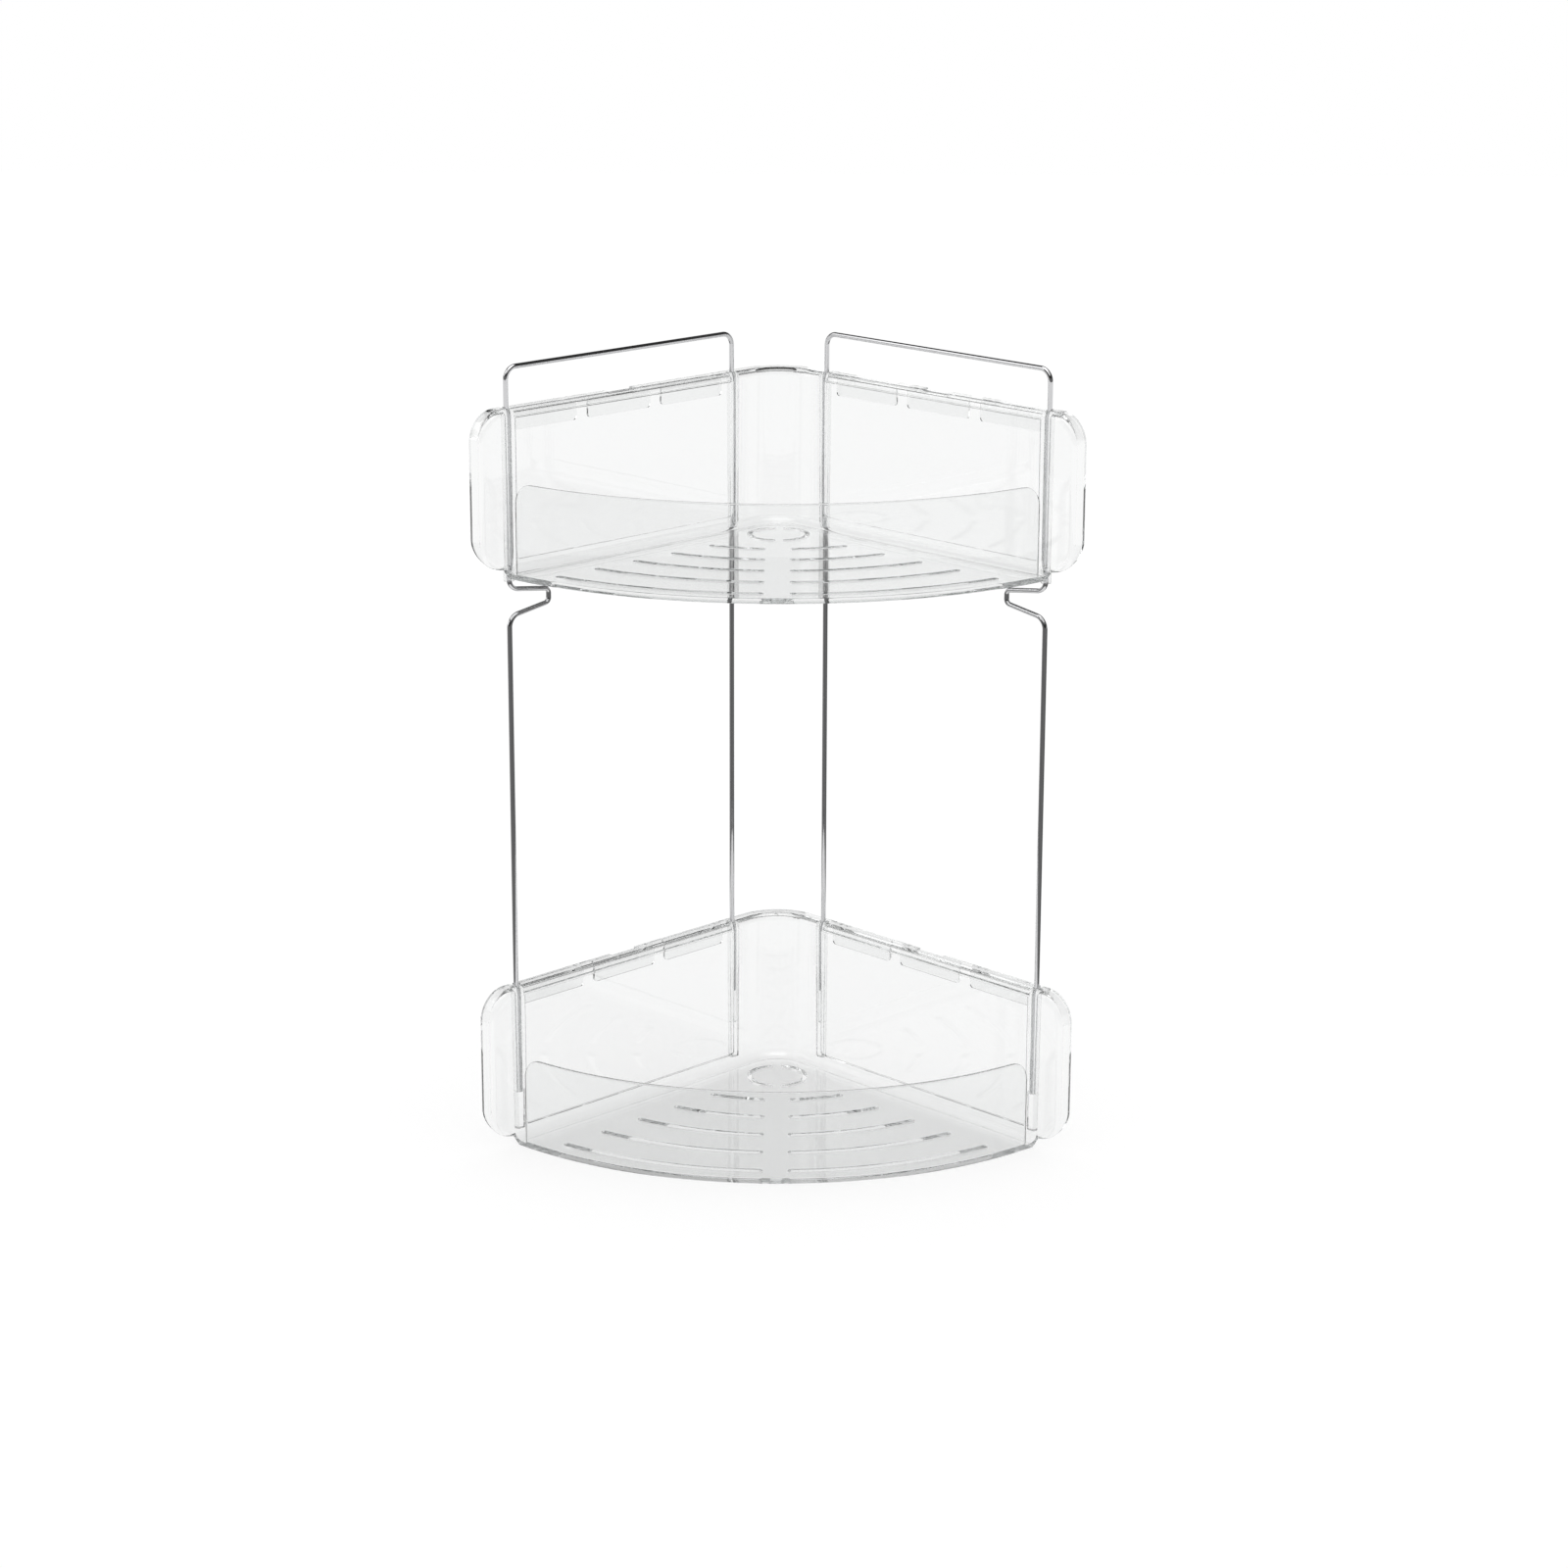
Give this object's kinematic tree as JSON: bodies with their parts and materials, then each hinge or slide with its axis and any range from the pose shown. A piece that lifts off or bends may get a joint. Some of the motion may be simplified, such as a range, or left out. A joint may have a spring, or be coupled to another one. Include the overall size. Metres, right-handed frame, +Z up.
{
  "type": "corner shelf",
  "caption": "Free-standing tiered corner shelf: clear quarter-round trays with slotted floors, held apart by bent chromed wire frames.",
  "frame": {"origin": "middle of the footprint, on the surface the lower shelf stands on", "axes": "+Z up, -Y towards the open front, +X to the right seen from the front"},
  "size_m": [0.2906, 0.1828, 0.3891],
  "materials": {
    "clear_plastic": "clear, polished moulding",
    "chromed_wire": "bright chrome plating"
  },
  "bodies": {
    "lower_tier": {"lower_shelf": "clear_plastic"},
    "wire_frames": {"left_wire_frame": "chromed_wire", "right_wire_frame": "chromed_wire"},
    "upper_tier": {"upper_shelf": "clear_plastic"}
  },
  "joints": [
    {"name": "frames_lift", "type": "slide", "parent": "lower_tier", "child": "wire_frames", "axis": [0, 0, 1], "range_m": [0, 0.06]},
    {"name": "upper_shelf_lift", "type": "slide", "parent": "wire_frames", "child": "upper_tier", "axis": [0, 0, 1], "range_m": [0, 0.013]}
  ]
}
